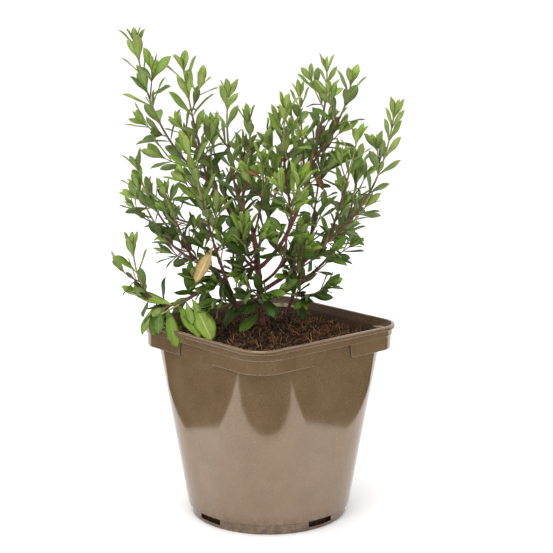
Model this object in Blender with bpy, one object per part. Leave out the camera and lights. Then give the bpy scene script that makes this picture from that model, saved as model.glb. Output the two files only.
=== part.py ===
"""A small twiggy shrub in the square-topped plastic pot that it was raised in.

The origin is the middle of the pot's flat underside, +Z is up and -Y is the side that the shrub is seen from.
The tables and all the working are in millimetres, and each mesh is scaled to metres when it is made.
The pot and its potting mix come first, then the woody limbs, then the leafy masses that grow on from them.
"""

import math
import random

import bmesh
import bpy
from mathutils import Matrix, Vector
from mathutils.bvhtree import BVHTree

MM = 0.001
SEED = 11
UP = Vector((0, 0, 1))

# The clear gap that neighbouring pieces keep, and the gap that a new leaf, twig or limb is tried at.
GAP = 0.3
CLEAR = 0.35

# The pot: a rounded square rim that narrows to a nearly round foot, standing with a corner to the front.
POT_TURN = math.radians(41.4)
POT_HEIGHT = 177
RIM_SIDE = 175
RIM_CORNER = 24
LIP_DEPTH = 4
LIP_STANDS_OUT = 1.25
BAND_FOOT = 167
BODY_TOP_SIDE = 168
BODY_TOP_CORNER = 41
BODY_FOOT = 10
BODY_FOOT_SIDE = 147
BODY_FOOT_CORNER = 72
FOOT_SIDE = 141
FOOT_CORNER = 69.5
WALL = 1.8
FLOOR = 2.5
CORNER_STEPS = 5

# The short skirt that hangs from the rim round each corner.
SKIRT_FOOT = 155
SKIRT_TOP = 170
SKIRT_SIDE = 172
SKIRT_CORNER = 26
SKIRT_WALL = 1.5
SKIRT_DRAFT = 0.8
SKIRT_GAP_TOP = 38
SKIRT_GAP_FOOT = 46

# The drainage windows in the foot, one under the middle of each side.
WINDOW_WIDTH = 27
WINDOW_FOOT = 3.2
WINDOW_TOP = 8.6

# The potting mix: a broad mound that falls away towards the walls.
MIX_EDGE = 161
MOUND_RISE = 10
MOUND_MIDDLE = Vector((0, 18, 0))
MOUND_REACH = 62
MIX_LUMP = 0.9
MIX_RINGS = 6

# Root flare: how much wider a stem is where it leaves the mix, and how high the flare reaches.
FLARE = 0.45
FLARE_HEIGHT = 9

# Woody limbs: name, what it grows from, how far along that, a middle point, the tip, and the foot and tip radii.
# A limb that grows from the mix has the place of its foot there instead.
LIMBS = (
    ("trunk", "mix", (-7, 8), (-8.5, 8, 212), (-14, 6, 259), 3.6, 2.0),
    ("bough_centre", "trunk", 1.0, (-21, 3, 276), (-28, 0, 292), 1.9, 1.5),
    ("bough_dark", "trunk", 0.60, (20, 12, 262), (40, 17, 327), 1.9, 1.3),
    ("bough_right", "trunk", 0.36, (27, 9, 226), (60, 4, 257), 2.0, 1.4),
    ("stem_back_right", "mix", (15, 45), (26, 44, 203), (37, 42, 237), 1.7, 1.2),
    ("bough_arch", "trunk", 0.44, (10, -12, 230), (15.5, -22, 255), 1.4, 1.1),
    ("stem_front_left", "mix", (-20, 4), (-35, -4, 208), (-48, -14, 249), 1.8, 1.3),
    ("bough_left", "trunk", 0.50, (-42, 3, 222), (-74, -8, 239), 1.5, 1.1),
    ("bough_tall_left", "trunk", 0.86, (-40, 12, 285), (-58, 17, 305), 1.5, 1.2),
    ("bough_low_left", "trunk", 0.70, (-54, -10, 210), (-88, -25, 196), 1.1, 0.9),
    ("bough_back", "trunk", 0.76, (0, 40, 266), (8, 60, 292), 1.5, 1.1),
    ("bough_back_left", "trunk", 0.56, (-34, 38, 240), (-58, 55, 268), 1.5, 1.1),
    ("bough_back_right", "trunk", 0.28, (26, 26, 205), (62, 40, 236), 1.6, 1.1),
)

# Leafy masses: name, the limb that its stem meets, how far along that, a middle point of the stem, its tip, the
# length of a full leaf, the number of side twigs, and how far its leaves sag from their own heading to straight down.
MASSES = (
    ("leaves_top_left", "bough_tall_left", 1.0, (-97, 26, 352), (-118, 30, 422), 24, 2, 0.0),
    ("leaves_left_spire", "bough_tall_left", 0.93, (-66, 5, 356), (-74, 0, 401), 23, 2, 0.0),
    ("leaves_front_left", "stem_front_left", 1.0, (-57, -26, 288), (-67, -40, 330), 25, 1, 0.0),
    ("leaves_left_tip", "bough_left", 1.0, (-96, -14, 262), (-113, -22, 299), 19, 1, 0.0),
    ("leaves_left_inner", "bough_left", 0.90, (-80, -24, 270), (-89, -36, 296), 19, 1, 0.0),
    ("leaves_left_back", "bough_left", 0.78, (-98, 10, 272), (-117, 16, 312), 19, 1, 0.0),
    ("leaves_low_left", "bough_low_left", 1.0, (-109, -32, 213), (-118, -36, 249), 20, 1, 0.0),
    ("leaves_rim", "bough_low_left", 0.62, (-76, -29, 200), (-94, -38, 192), 33, 0, 0.62),
    ("leaves_centre_left", "bough_centre", 1.0, (-36, 12, 338), (-36, 22, 376), 21, 1, 0.0),
    ("leaves_centre", "bough_centre", 0.80, (-17, 6, 322), (-18, 2, 355), 20, 2, 0.0),
    ("leaves_front_centre", "trunk", 0.95, (-6, -12, 290), (-5, -22, 322), 20, 1, 0.0),
    ("leaves_arch", "bough_arch", 1.0, (20, -34, 280), (25, -44, 304), 23, 1, 0.0),
    ("leaves_spire_front", "bough_dark", 0.45, (14, -6, 325), (15, -10, 366), 21, 2, 0.0),
    ("leaves_spire_back", "bough_dark", 0.74, (30, 28, 342), (28, 37, 374), 21, 1, 0.0),
    ("leaves_top_right", "bough_dark", 1.0, (50, 23, 368), (52, 28, 399), 20, 1, 0.0),
    ("leaves_right_spire", "bough_dark", 0.90, (62, 6, 358), (72, 0, 389), 21, 1, 0.0),
    ("leaves_right_tip", "bough_right", 1.0, (93, 8, 298), (111, 12, 359), 22, 1, 0.0),
    ("leaves_right_inner", "bough_right", 0.90, (68, -6, 300), (77, -12, 340), 20, 1, 0.0),
    ("leaves_stem_back_right", "stem_back_right", 1.0, (43, 40, 280), (50, 36, 330), 22, 2, 0.0),
    ("leaves_inner_left", "bough_tall_left", 0.55, (-46, 34, 308), (-52, 44, 342), 20, 1, 0.0),
    ("leaves_back", "bough_back", 1.0, (12, 74, 320), (10, 84, 348), 21, 2, 0.0),
    ("leaves_back_low", "bough_back", 0.85, (-6, 86, 290), (-16, 106, 312), 20, 1, 0.0),
    ("leaves_back_left", "bough_back_left", 1.0, (-70, 68, 298), (-74, 76, 330), 21, 2, 0.0),
    ("leaves_back_left_low", "bough_back_left", 0.85, (-84, 52, 262), (-108, 62, 282), 20, 1, 0.0),
    ("leaves_back_right", "bough_back_right", 1.0, (76, 52, 272), (82, 60, 312), 21, 2, 0.0),
    ("leaves_back_right_low", "bough_back_right", 0.85, (70, 72, 244), (84, 92, 266), 20, 1, 0.0),
    ("leaves_foot", "trunk", 0.26, (-6, -12, 202), (-3, -26, 208), 22, 2, 0.2),
    ("leaves_inner_front", "trunk", 0.64, (-18, -16, 240), (-22, -30, 262), 21, 3, 0.1),
    ("leaves_inner_right", "bough_right", 0.40, (24, -12, 234), (28, -22, 258), 21, 2, 0.1),
    ("leaves_inner_back", "bough_left", 0.34, (-32, 18, 242), (-34, 26, 268), 20, 2, 0.1),
    ("leaves_low_right", "stem_back_right", 0.36, (38, 25, 196), (48, 16, 203), 20, 1, 0.15),
    ("leaves_low_front", "stem_front_left", 0.30, (-38, -16, 200), (-44, -24, 202), 21, 0, 0.2),
)

# How a leafy stem grows.
STEM_RADIUS = 1.2
STEM_TIP_RADIUS = 0.85
TWIG_RADIUS = 0.95
STEM_SIDES = 3
STEM_STEPS = 4
LOW_SPACING = 27
HIGH_SPACING = 12
FIRST_PAIR = 5
TWIG_REACH = (17, 30)
TWIG_ZONE = 0.5
SPACE_REACH = 33
LOW_PITCH = math.radians(62)
HIGH_PITCH = math.radians(22)
TWIG_PITCH = math.radians(42)
LEAF_FULLNESS = 1.2
LEAF_WIDTH = 0.5
LEAF_WIDEST = 0.56
LEAF_ROOT_WIDTH = 0.7
LEAF_ROOT_DEPTH = 0.6
LEAF_CUP = 0.10
LEAF_DROOP = 0.06
TWIG_LEAF = 0.82
END_LEAF = 0.84
TIP_LEAF = 0.9
BARE_ROOT = 3
TWIG_LIFT = 3
TWIG_SAG = 1.5
TWIG_SUNK = 0.3
TRIES = 5

# How far a leaf, a pair or a twig strays from the rule, as shares or in radians.
TWIG_PLACE_SPREAD = (0.85, 1.1)
SPACING_SPREAD = (0.9, 1.1)
SIZE_SPREAD = (0.9, 1.08)
PITCH_SPREAD = (0.85, 1.15)
TURN_SPREAD = (-0.2, 0.2)

# What each new try at a blocked leaf changes.
RETRY_TURN = (-0.5, 0.5)
RETRY_PITCH = (0.75, 1.05)
RETRY_LENGTH = 0.9


def clear_scene():
    for thing in list(bpy.data.objects):
        bpy.data.objects.remove(thing, do_unlink=True)


def material(name, colour, roughness):
    """A plain Principled material in one colour."""
    made = bpy.data.materials.new(name)
    made.use_nodes = True
    shader = made.node_tree.nodes["Principled BSDF"]
    shader.inputs["Base Color"].default_value = (*colour, 1)
    shader.inputs["Roughness"].default_value = roughness
    shader.inputs["Metallic"].default_value = 0
    made.diffuse_color = (*colour, 1)
    return made


def mesh_object(name, points, faces, finish):
    """A new object whose mesh is scaled from millimetres to metres."""
    mesh = bpy.data.meshes.new(name)
    mesh.from_pydata([Vector(point) * MM for point in points], [], faces)
    work = bmesh.new()
    work.from_mesh(mesh)
    bmesh.ops.recalc_face_normals(work, faces=work.faces)
    work.to_mesh(mesh)
    work.free()
    mesh.materials.append(finish)
    thing = bpy.data.objects.new(name, mesh)
    bpy.context.scene.collection.objects.link(thing)
    return thing


def settle(thing):
    """Applies the object's modifiers and returns it."""
    graph = bpy.context.evaluated_depsgraph_get()
    result = bpy.data.meshes.new_from_object(thing.evaluated_get(graph))
    thing.modifiers.clear()
    old = thing.data
    thing.data = result
    bpy.data.meshes.remove(old)
    result.name = thing.name
    return thing


def boolean(thing, operation, others, solver="EXACT"):
    """One Boolean against a whole collection, applied, with the collection's objects then removed."""
    bucket = bpy.data.collections.new(thing.name + " pieces")
    bpy.context.scene.collection.children.link(bucket)
    for other in others:
        bpy.context.scene.collection.objects.unlink(other)
        bucket.objects.link(other)
        other.hide_render = True
        other.display_type = "WIRE"
    step = thing.modifiers.new("Join", "BOOLEAN")
    step.operation = operation
    step.operand_type = "COLLECTION"
    step.collection = bucket
    step.solver = solver
    bpy.context.view_layer.update()
    settle(thing)
    for other in list(bucket.objects):
        bpy.data.objects.remove(other, do_unlink=True)
    bpy.data.collections.remove(bucket)
    return thing


def loft(rings, first=None, last=None):
    """Points and faces of a closed skin through rings of equal count, ended by a point or by a flat face."""
    count = len(rings[0])
    points = [point for ring in rings for point in ring]
    faces = []
    for ring in range(len(rings) - 1):
        for step in range(count):
            here = ring * count + step
            beside = ring * count + (step + 1) % count
            faces.append((here, beside, beside + count, here + count))
    top = (len(rings) - 1) * count
    if first is None:
        faces.append(tuple(reversed(range(count))))
    else:
        points.append(first)
        faces += [((step + 1) % count, step, len(points) - 1) for step in range(count)]
    if last is None:
        faces.append(tuple(top + step for step in range(count)))
    else:
        points.append(last)
        faces += [(top + step, top + (step + 1) % count, len(points) - 1) for step in range(count)]
    return points, faces


def square_ring(side, corner, height):
    """Points round a square with rounded corners, turned the way the pot stands."""
    ring = []
    for quarter in range(4):
        turn = Matrix.Rotation(POT_TURN + quarter * math.pi / 2, 3, "Z")
        middle = Vector((side / 2 - corner, side / 2 - corner, 0))
        for step in range(CORNER_STEPS + 1):
            angle = step / CORNER_STEPS * math.pi / 2
            out = Vector((math.cos(angle), math.sin(angle), 0)) * corner
            ring.append(turn @ (middle + out) + UP * height)
    return ring


def wall_at(height, inset=0.0):
    """Side and corner radius of the tapering wall at a height, taken in by an inset."""
    share = (height - BODY_FOOT) / (BAND_FOOT - BODY_FOOT)
    side = BODY_FOOT_SIDE + share * (BODY_TOP_SIDE - BODY_FOOT_SIDE)
    corner = BODY_FOOT_CORNER + share * (BODY_TOP_CORNER - BODY_FOOT_CORNER)
    return side - 2 * inset, corner - inset


def skirt_plate(quarter):
    """The thin skirt round one corner, with slanted ends, as points and faces."""
    turn = Matrix.Rotation(POT_TURN + quarter * math.pi / 2, 3, "Z")
    sections = []
    for height, gap in ((SKIRT_TOP, SKIRT_GAP_TOP), (SKIRT_FOOT, SKIRT_GAP_FOOT)):
        draft = 0 if height == SKIRT_TOP else SKIRT_DRAFT
        for inset in (draft, draft + SKIRT_WALL):
            half = SKIRT_SIDE / 2 - inset
            corner = SKIRT_CORNER - inset
            run = [Vector((half, gap / 2, height))]
            for step in range(CORNER_STEPS + 1):
                angle = step / CORNER_STEPS * math.pi / 2
                run.append(Vector((
                    half - corner + corner * math.cos(angle),
                    half - corner + corner * math.sin(angle),
                    height,
                )))
            run.append(Vector((gap / 2, half, height)))
            sections.append([turn @ point for point in run])
    outer_top, inner_top, outer_foot, inner_foot = sections
    rings = [list(ring) for ring in zip(outer_foot, outer_top, inner_top, inner_foot)]
    return loft(rings)


def make_pot():
    band_side = RIM_SIDE - 2 * LIP_STANDS_OUT
    band_corner = RIM_CORNER + 1
    lip_foot = POT_HEIGHT - LIP_DEPTH
    step_top = BODY_FOOT + 2
    outside = [
        (0, FOOT_SIDE - 2, FOOT_CORNER - 1),
        (BODY_FOOT - 1, FOOT_SIDE, FOOT_CORNER),
        (BODY_FOOT, BODY_FOOT_SIDE, BODY_FOOT_CORNER),
        (BAND_FOOT, BODY_TOP_SIDE, BODY_TOP_CORNER),
        (BAND_FOOT, band_side, band_corner),
        (lip_foot, band_side, band_corner),
        (lip_foot, RIM_SIDE, RIM_CORNER),
        (POT_HEIGHT - 0.9, RIM_SIDE, RIM_CORNER),
        (POT_HEIGHT, RIM_SIDE - 2, RIM_CORNER - 1),
    ]
    inside = [
        (POT_HEIGHT, RIM_SIDE - 4.5, RIM_CORNER - 2),
        (POT_HEIGHT - 2, RIM_SIDE - 6.5, RIM_CORNER - 2),
        (BAND_FOOT + WALL + 2, band_side - 6.5, RIM_CORNER + 3),
        (BAND_FOOT + WALL, *wall_at(BAND_FOOT + WALL, WALL)),
        (step_top, *wall_at(step_top, WALL)),
        (step_top - 1.5, FOOT_SIDE - 2 * WALL, FOOT_CORNER - WALL),
        (FLOOR, FOOT_SIDE - 2 * WALL - 2, FOOT_CORNER - WALL - 1),
    ]
    rings = [square_ring(side, corner, height) for height, side, corner in outside + inside]
    plastic = material("Taupe polypropylene", (0.22, 0.17, 0.11), 0.35)
    pot = mesh_object("pot", *loft(rings, Vector((0, 0, 0)), Vector((0, 0, FLOOR))), plastic)
    plates = [mesh_object("skirt", *skirt_plate(quarter), plastic) for quarter in range(4)]
    boolean(pot, "UNION", plates)
    cutters = []
    for quarter in range(4):
        turn = Matrix.Rotation(POT_TURN + quarter * math.pi / 2, 3, "Z")
        corners = [
            turn @ Vector((reach, across, height))
            for reach in (FOOT_SIDE / 2 - 8, FOOT_SIDE / 2 + 8)
            for height in (WINDOW_FOOT, WINDOW_TOP)
            for across in (-WINDOW_WIDTH / 2, WINDOW_WIDTH / 2)
        ]
        box = (0, 1, 3, 2), (4, 6, 7, 5), (0, 4, 5, 1), (2, 3, 7, 6), (0, 2, 6, 4), (1, 5, 7, 3)
        cutters.append(mesh_object("window", corners, box, plastic))
    boolean(pot, "DIFFERENCE", cutters)
    pot.data.shade_smooth()
    pot.data.set_sharp_from_angle(angle=math.radians(35))
    return pot


def mix_height(x, y):
    """Height of the potting mix over a point: a broad mound with small lumps."""
    away = (Vector((x, y, 0)) - MOUND_MIDDLE).length / MOUND_REACH
    lump = math.sin(x * 0.21 + 1.3) * math.sin(y * 0.17 + 0.4) + 0.6 * math.sin(x * 0.37 - y * 0.29)
    return MIX_EDGE + MOUND_RISE / (1 + away ** 4) + MIX_LUMP * lump


def make_mix():
    """The potting mix that fills the pot, from the floor to its mound."""
    step_top = BODY_FOOT + 2
    sizes = [
        (FLOOR + GAP, FOOT_SIDE - 2 * WALL - 3, FOOT_CORNER - WALL - 1.5),
        (step_top - 1, FOOT_SIDE - 2 * WALL - 2 * GAP - 0.5, FOOT_CORNER - WALL - GAP - 0.5),
        (step_top + 1, *wall_at(step_top, WALL + GAP)),
    ]
    rings = [square_ring(side, corner, height) for height, side, corner in sizes]
    rim = square_ring(*wall_at(MIX_EDGE, WALL + GAP), 0)
    for ring in range(MIX_RINGS):
        share = 1 - ring / MIX_RINGS
        rings.append([Vector((p.x * share, p.y * share, mix_height(p.x * share, p.y * share))) for p in rim])
    earth = material("Potting mix", (0.035, 0.022, 0.013), 0.95)
    foot = Vector((0, 0, FLOOR + GAP))
    return mesh_object("potting_mix", *loft(rings, foot, Vector((0, 0, mix_height(0, 0)))), earth)


def bow(foot, middle, tip, share):
    """A point on the smooth bow from a foot through its middle to its tip."""
    pull = 2 * middle - (foot + tip) / 2
    return foot * (1 - share) ** 2 + pull * (2 * share * (1 - share)) + tip * share ** 2


class Limb:
    """A tapering limb: points along its bow, a radius at each, and the plane that its foot lies flat in."""

    def __init__(self, name, foot, middle, tip, radii, start=0.0, face=None, steps=5):
        self.name = name
        self.points = []
        self.radii = []
        for step in range(steps + 1):
            share = start + (1 - start) * step / steps
            self.points.append(bow(foot, middle, tip, share))
            self.radii.append(radii[0] + (radii[1] - radii[0]) * step / steps)
        self.face = face

    def length(self):
        return sum((b - a).length for a, b in zip(self.points, self.points[1:]))

    def at(self, share):
        """The point, direction and radius at a share of the length."""
        left = share * self.length()
        for step, (a, b) in enumerate(zip(self.points, self.points[1:])):
            run = (b - a).length
            if left <= run or step == len(self.points) - 2:
                part = min(left / run, 1)
                radius = self.radii[step] + (self.radii[step + 1] - self.radii[step]) * part
                return a.lerp(b, part), (b - a).normalized(), radius
            left -= run
        return None

    def skin(self, sides, grow=0.0):
        """Points and faces of the limb as a tube, its foot ring lying in the plane that it meets."""
        ahead = (self.points[1] - self.points[0]).normalized()
        across = ahead.orthogonal().normalized()
        rings = []
        for step, point in enumerate(self.points):
            before = self.points[max(step - 1, 0)]
            after = self.points[min(step + 1, len(self.points) - 1)]
            ahead = (after - before).normalized()
            across = (across - ahead * across.dot(ahead)).normalized()
            beside = ahead.cross(across)
            ring = []
            for side in range(sides):
                angle = side / sides * 2 * math.pi
                out = across * math.cos(angle) + beside * math.sin(angle)
                ring.append(point + out * (self.radii[step] + grow))
            rings.append(ring)
        if self.face:
            away = (self.points[1] - self.points[0]).normalized()
            rings[0] = [p - away * ((p - self.points[0]).dot(self.face) / away.dot(self.face)) for p in rings[0]]
        return loft(rings)


def branch(name, parent, along, middle, tip, radii, steps=5):
    """A limb that grows from another one, its foot cut to lie flat against it and the joint's gap clear of it."""
    place, heading, radius = parent.at(along)
    if along >= 1:
        return Limb(name, place + heading * GAP, middle, tip, radii, face=heading, steps=steps)
    early = bow(place, middle, tip, 0.05) - place
    out = (early - heading * early.dot(heading)).normalized()
    reach = radius + CLEAR
    start = 0.0
    while (bow(place, middle, tip, start) - place).dot(out) < reach:
        start += 0.002
    return Limb(name, place, middle, tip, radii, start=start, face=out, steps=steps)


def stem_from_mix(name, foot, middle, tip, radii, steps=6):
    """A stem that stands on the potting mix, flared at its flat-cut foot."""
    around = radii[0] * (1 + FLARE)
    spots = [(0, 0), (around, 0), (-around, 0), (0, around), (0, -around)]
    ground = max(mix_height(foot[0] + dx, foot[1] + dy) for dx, dy in spots) + GAP + 0.2
    base = Vector((*foot, ground))
    limb = Limb(name, base, Vector(middle), Vector(tip), radii, face=UP, steps=steps)
    rise = limb.points[0].lerp(limb.points[1], FLARE_HEIGHT / (limb.points[1] - limb.points[0]).length)
    limb.points.insert(1, rise)
    limb.radii.insert(1, limb.radii[0])
    limb.radii[0] *= 1 + FLARE
    return limb


def make_limbs():
    """All the woody limbs, by name."""
    limbs = {}
    for name, parent, along, middle, tip, *radii in LIMBS:
        if parent == "mix":
            limbs[name] = stem_from_mix(name, along, middle, tip, radii)
        else:
            limbs[name] = branch(name, limbs[parent], along, Vector(middle), Vector(tip), radii)
    return limbs


def leaf(root, ahead, up, length, grow=0.0):
    """Points and faces of one leaf: a cupped blade of eight faces whose thick root sits inside its twig."""
    side = ahead.cross(up).normalized()
    up = side.cross(ahead)
    half_root = LEAF_ROOT_WIDTH / 2 + grow
    half_blade = length * LEAF_WIDTH / 2 + grow
    widest = root + ahead * length * LEAF_WIDEST + up * length * LEAF_CUP
    points = [
        root - side * half_root - up * (LEAF_ROOT_DEPTH / 2 + grow),
        root + side * half_root - up * (LEAF_ROOT_DEPTH / 2 + grow),
        root + up * (LEAF_ROOT_DEPTH / 2 + grow),
        widest - side * half_blade,
        root + ahead * (length + grow) - up * length * LEAF_DROOP,
        widest + side * half_blade,
    ]
    faces = [(0, 2, 1), (0, 3, 2), (2, 3, 4), (2, 4, 5), (1, 2, 5), (0, 1, 5), (0, 5, 4), (0, 4, 3)]
    return points, faces


class Crown:
    """Keeps the surface of each piece that is in place, so that a new leaf or twig can be tried against them."""

    def __init__(self):
        self.surfaces = {}

    def add(self, owner, points, faces):
        self.surfaces.setdefault(owner, []).append(BVHTree.FromPolygons(points, faces))

    def add_object(self, thing):
        points = [vertex.co / MM for vertex in thing.data.vertices]
        self.add(thing.name, points, [tuple(face.vertices) for face in thing.data.polygons])

    def is_clear(self, owner, points, faces):
        """Whether a grown piece touches nothing of another owner and stays above the potting mix."""
        tried = BVHTree.FromPolygons(points, faces)
        for name, surfaces in self.surfaces.items():
            if name != owner and any(tried.overlap(surface) for surface in surfaces):
                return False
        return all(point.z > mix_height(point.x, point.y) + 1 for point in points if over_mix(point))

    def crosses_own(self, owner, points, faces):
        """Whether a blade cuts through a leaf that its own mass already has."""
        tried = BVHTree.FromPolygons(points, faces)
        return any(tried.overlap(surface) for surface in self.surfaces[owner][1:])


def over_mix(point):
    """Whether a point is inside the pot's outline, seen from above."""
    local = Matrix.Rotation(-POT_TURN, 3, "Z") @ point
    return max(abs(local.x), abs(local.y)) < RIM_SIDE / 2


def distance_to(limb, point):
    """How far a point is from the nearest point of a limb's centreline."""
    nearest = 1e9
    for a, b in zip(limb.points, limb.points[1:]):
        run = b - a
        part = max(0, min(1, (point - a).dot(run) / run.length_squared))
        nearest = min(nearest, (a + run * part - point).length)
    return nearest


def try_leaf(crown, name, stem, spot, heading, outward, pitch, length, sag, draw):
    """A leaf that is clear of its neighbours and in its mass's space, or nothing after a few tries."""
    for _ in range(TRIES):
        ahead = heading * math.cos(pitch) + outward * math.sin(pitch)
        ahead = (ahead * (1 - sag) - UP * sag).normalized()
        up = (heading - ahead * heading.dot(ahead)).normalized()
        blade = leaf(spot + ahead * BARE_ROOT, ahead, up, length - BARE_ROOT)
        inside = distance_to(stem, spot + ahead * length) < SPACE_REACH
        fits = inside and not crown.crosses_own(name, *blade)
        if fits and crown.is_clear(name, *leaf(spot, ahead, up, length, CLEAR)):
            made = leaf(spot, ahead, up, length)
            crown.add(name, *made)
            return made
        turn = Matrix.Rotation(draw.uniform(*RETRY_TURN), 3, heading)
        outward = turn @ outward
        pitch *= draw.uniform(*RETRY_PITCH)
        length *= RETRY_LENGTH
    return None


def grow_pairs(crown, name, stem, shoot, full_leaf, sag, draw, scale=1.0):
    """Pairs of leaves up a shoot, each pair crosswise to the last and closer to it towards the tip."""
    leaves = []
    length = shoot.length()
    turn = draw.uniform(0, math.pi)
    reach = FIRST_PAIR
    while reach < length:
        share = reach / length
        spot, heading, _ = shoot.at(share)
        pitch = LOW_PITCH + (HIGH_PITCH - LOW_PITCH) * share ** 0.8
        swell = END_LEAF + (1 - END_LEAF) * math.sin(math.pi * share)
        size = full_leaf * LEAF_FULLNESS * scale * swell * draw.uniform(*SIZE_SPREAD)
        for opposite in range(2):
            angle = turn + opposite * math.pi
            outward = Matrix.Rotation(angle, 3, heading) @ heading.orthogonal().normalized()
            tilt = pitch * draw.uniform(*PITCH_SPREAD)
            made = try_leaf(crown, name, stem, spot, heading, outward, tilt, size, sag, draw)
            if made:
                leaves.append(made)
        turn += math.pi / 2 + draw.uniform(*TURN_SPREAD)
        reach += (LOW_SPACING + (HIGH_SPACING - LOW_SPACING) * share) * draw.uniform(*SPACING_SPREAD)
    spot, heading, _ = shoot.at(0.97)
    for opposite in range(2):
        outward = Matrix.Rotation(turn + opposite * math.pi, 3, heading) @ heading.orthogonal().normalized()
        size = full_leaf * TIP_LEAF
        made = try_leaf(crown, name, stem, spot, heading, outward, HIGH_PITCH * 0.6, size, sag, draw)
        if made:
            leaves.append(made)
    return leaves


def grow_mass(crown, row, stem):
    """The side twigs and leaves of one mass, as lists of points and faces."""
    name, full_leaf, twig_count, sag = row[0], *row[5:]
    draw = random.Random(f"{SEED} {name}")
    pieces = []
    for index in range(twig_count):
        share = (index + 0.5) / twig_count * TWIG_ZONE * draw.uniform(*TWIG_PLACE_SPREAD)
        spot, heading, _ = stem.at(share)
        for _ in range(TRIES * 2):
            outward = Matrix.Rotation(draw.uniform(0, 2 * math.pi), 3, heading) @ heading.orthogonal().normalized()
            ahead = heading * math.cos(TWIG_PITCH) + outward * math.sin(TWIG_PITCH)
            tip = spot + ahead * draw.uniform(*TWIG_REACH) + UP * TWIG_LIFT
            middle = (spot + tip) / 2 - UP * TWIG_SAG
            twig = Limb(name, spot - ahead * TWIG_SUNK, middle, tip, (TWIG_RADIUS, STEM_TIP_RADIUS), steps=2)
            if crown.is_clear(name, *twig.skin(STEM_SIDES, CLEAR)):
                pieces.append(twig.skin(STEM_SIDES))
                crown.add(name, *twig.skin(STEM_SIDES))
                pieces += grow_pairs(crown, name, stem, twig, full_leaf, sag, draw, TWIG_LEAF)
                break
    pieces += grow_pairs(crown, name, stem, stem, full_leaf, sag, draw)
    return pieces


def keep_largest(thing):
    """Drops every loose scrap, keeping the largest joined body."""
    work = bmesh.new()
    work.from_mesh(thing.data)
    left = set(work.verts)
    groups = []
    while left:
        group = {left.pop()}
        edge_on = list(group)
        while edge_on:
            for edge in edge_on.pop().link_edges:
                for vert in edge.verts:
                    if vert not in group:
                        group.add(vert)
                        edge_on.append(vert)
        left -= group
        groups.append(group)
    groups.sort(key=len)
    for group in groups[:-1]:
        bmesh.ops.delete(work, geom=list(group), context="VERTS")
    work.to_mesh(thing.data)
    work.free()
    return len(groups) - 1


def make_shrub(pot):
    bark = material("Woody bark", (0.13, 0.075, 0.05), 0.8)
    green = material("Leaf green", (0.13, 0.24, 0.06), 0.5)
    limbs = make_limbs()
    crown = Crown()
    crown.add_object(pot)
    for name, limb in limbs.items():
        sides = 8 if name == "trunk" else 6
        wood = mesh_object(name, *limb.skin(sides), bark)
        wood.data.shade_smooth()
        wood.data.set_sharp_from_angle(angle=math.radians(50))
        crown.add(name, *limb.skin(sides))
    stems = {}
    for row in MASSES:
        name, parent, along, middle, tip = row[:5]
        radii = (STEM_RADIUS, STEM_TIP_RADIUS)
        stems[name] = branch(name, limbs[parent], along, Vector(middle), Vector(tip), radii, steps=STEM_STEPS)
        crown.add(name, *stems[name].skin(STEM_SIDES))
    leaf_count = 0
    for row in MASSES:
        name = row[0]
        stem = stems[name]
        pieces = grow_mass(crown, row, stem)
        mass = mesh_object(name, *stem.skin(STEM_SIDES), green)
        parts = [mesh_object(name + " piece", points, faces, green) for points, faces in pieces]
        boolean(mass, "UNION", parts)
        dropped = keep_largest(mass)
        leaf_count += len(pieces)
        triangles = sum(len(face.vertices) - 2 for face in mass.data.polygons)
        print(name, len(pieces), "pieces,", triangles, "triangles,", dropped, "scraps")
    print(leaf_count, "leaves and twigs")


clear_scene()
nursery_pot = make_pot()
make_mix()
make_shrub(nursery_pot)
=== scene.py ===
# %% [markdown]
# # A young baby sage in its nursery pot
#
# This lesson dresses a small shrub: a plastic pot, dark potting mix, woody stems with bark, and nearly two
# thousand leaves. The shrub's solids are loaded first as a frame. Every piece is made where its solid stands,
# so nothing has to be fitted afterwards.

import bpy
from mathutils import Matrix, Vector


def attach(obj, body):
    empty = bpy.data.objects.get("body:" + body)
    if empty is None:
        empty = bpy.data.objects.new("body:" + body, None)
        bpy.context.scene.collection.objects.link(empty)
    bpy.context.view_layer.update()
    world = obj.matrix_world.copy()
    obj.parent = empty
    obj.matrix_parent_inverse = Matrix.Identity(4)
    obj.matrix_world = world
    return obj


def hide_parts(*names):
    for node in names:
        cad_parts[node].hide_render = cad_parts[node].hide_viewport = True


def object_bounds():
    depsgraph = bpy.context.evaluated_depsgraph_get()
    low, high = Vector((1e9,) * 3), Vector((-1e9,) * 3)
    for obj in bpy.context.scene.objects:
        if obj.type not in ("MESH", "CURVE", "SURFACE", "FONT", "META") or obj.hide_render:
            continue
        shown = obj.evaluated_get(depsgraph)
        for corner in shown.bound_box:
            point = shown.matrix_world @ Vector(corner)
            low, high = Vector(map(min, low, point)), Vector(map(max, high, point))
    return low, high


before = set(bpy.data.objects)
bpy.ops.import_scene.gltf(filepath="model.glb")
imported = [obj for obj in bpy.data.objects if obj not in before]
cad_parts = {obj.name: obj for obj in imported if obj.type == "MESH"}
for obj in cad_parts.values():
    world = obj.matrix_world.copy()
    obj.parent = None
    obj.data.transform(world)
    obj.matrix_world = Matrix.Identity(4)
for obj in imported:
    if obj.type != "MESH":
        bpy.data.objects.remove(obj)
cad_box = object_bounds()
print("solids:", len(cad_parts), "height in metres:", round(cad_box[1].z, 4))

# %% [markdown]
# Sizes are easier to think of in millimetres on a plant this small, so the tables use them, and each mesh is
# scaled to metres as it is made. The random numbers have a fixed seed, so the shrub always grows the same.

# %% Units, seed and directions
import math
import random

import bmesh
import bpy
import numpy as np
from mathutils import Matrix, Vector

MM = 0.001
SEED = 11
UP = Vector((0, 0, 1))
BLACK = "#000000"
WHITE = "#ffffff"

# %% [markdown]
# Colours are written as the hex codes that a paint program shows. A shader wants linear values, so a function
# turns them. Another adds a shader or geometry node, with its settings and links, in one line.

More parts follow.
